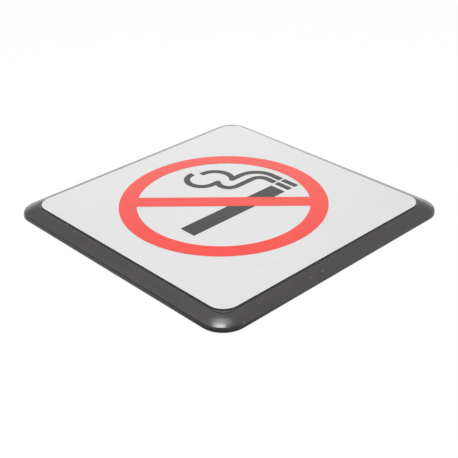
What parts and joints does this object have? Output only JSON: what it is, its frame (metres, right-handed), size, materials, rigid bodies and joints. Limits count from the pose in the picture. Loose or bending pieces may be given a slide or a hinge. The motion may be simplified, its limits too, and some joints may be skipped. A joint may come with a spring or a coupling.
{
  "type": "no smoking sign",
  "caption": "Square door sign: thin brushed metal plate printed with a prohibition ring, bar and smoking cigarette, set in a dark moulded surround with sloping rim and self-adhesive back.",
  "frame": {"origin": "middle of the adhesive back, on the surface that the sign is stuck to", "axes": "+Z out of the printed face, +X to the reader's right, +Y up the sign as it hangs"},
  "size_m": [0.1116, 0.1116, 0.0043],
  "materials": {
    "surround": "satin black moulded plastic",
    "face_plate": "fine brushed grain from left to right",
    "plate_adhesive": "clear glue film",
    "foam_pad": "white foam",
    "release_liner": "smooth siliconed paper",
    "red_print": "satin screen ink",
    "black_print": "satin screen ink"
  },
  "bodies": {
    "root": {"surround": "surround", "face_plate": "face_plate", "plate_adhesive": "plate_adhesive", "foam_pad": "foam_pad", "release_liner": "release_liner", "ring_and_bar": "red_print", "cigarette": "black_print", "ember_strips": "black_print", "smoke_trails": "black_print"}
  },
  "joints": []
}
